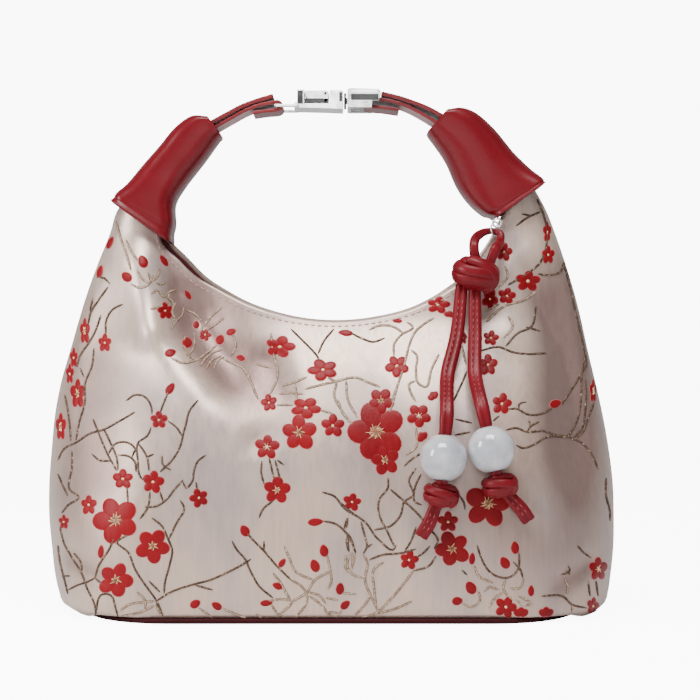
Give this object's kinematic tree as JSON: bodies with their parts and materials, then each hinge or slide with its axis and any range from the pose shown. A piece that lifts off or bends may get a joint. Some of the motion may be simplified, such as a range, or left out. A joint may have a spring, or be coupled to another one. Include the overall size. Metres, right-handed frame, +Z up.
{
  "type": "embroidered brocade hobo purse",
  "caption": "Small hobo purse of plum blossom brocade with a red leather handle, silver lever clasp, leather base and a hanging bead charm.",
  "frame": {"origin": "centre of the underside of the base, on the floor", "axes": "+X to the wearer's view right along the bag's width, +Y to the back, +Z up; the front with the charm faces -Y"},
  "size_m": [0.2308, 0.118, 0.2122],
  "materials": {
    "brocade": "champagne satin jacquard with woven plum blossom",
    "lining": "dark red plain weave",
    "leather": "smooth red, softly glossy",
    "silver": "polished silver plate",
    "glass": "milky white glass"
  },
  "bodies": {
    "bag": {"front_panel": "brocade", "back_panel": "brocade", "lining": "lining", "base_panel": "leather", "sleeve_left": "leather", "sleeve_right": "leather", "strap_left_cover": "leather", "strap_left_loop": "leather", "strap_right_cover": "leather", "strap_right_loop": "leather", "clasp_hook": "silver", "clasp_eye": "silver", "charm_link": "silver", "charm_ring": "silver", "charm_loop": "leather", "charm_knot": "leather", "charm_strand_left": "leather", "charm_strand_right": "leather", "bead_left": "glass", "bead_right": "glass", "end_knot_left": "leather", "end_knot_right": "leather", "tail_left": "leather", "tail_right": "leather"},
    "lever": {"clasp_lever": "silver"}
  },
  "joints": [
    {"name": "lever_hinge", "type": "hinge", "parent": "bag", "child": "lever", "pos_m": [-0.0024, 0, 0.2103], "axis": [0, 1, 0], "range_deg": [0, 95]}
  ]
}
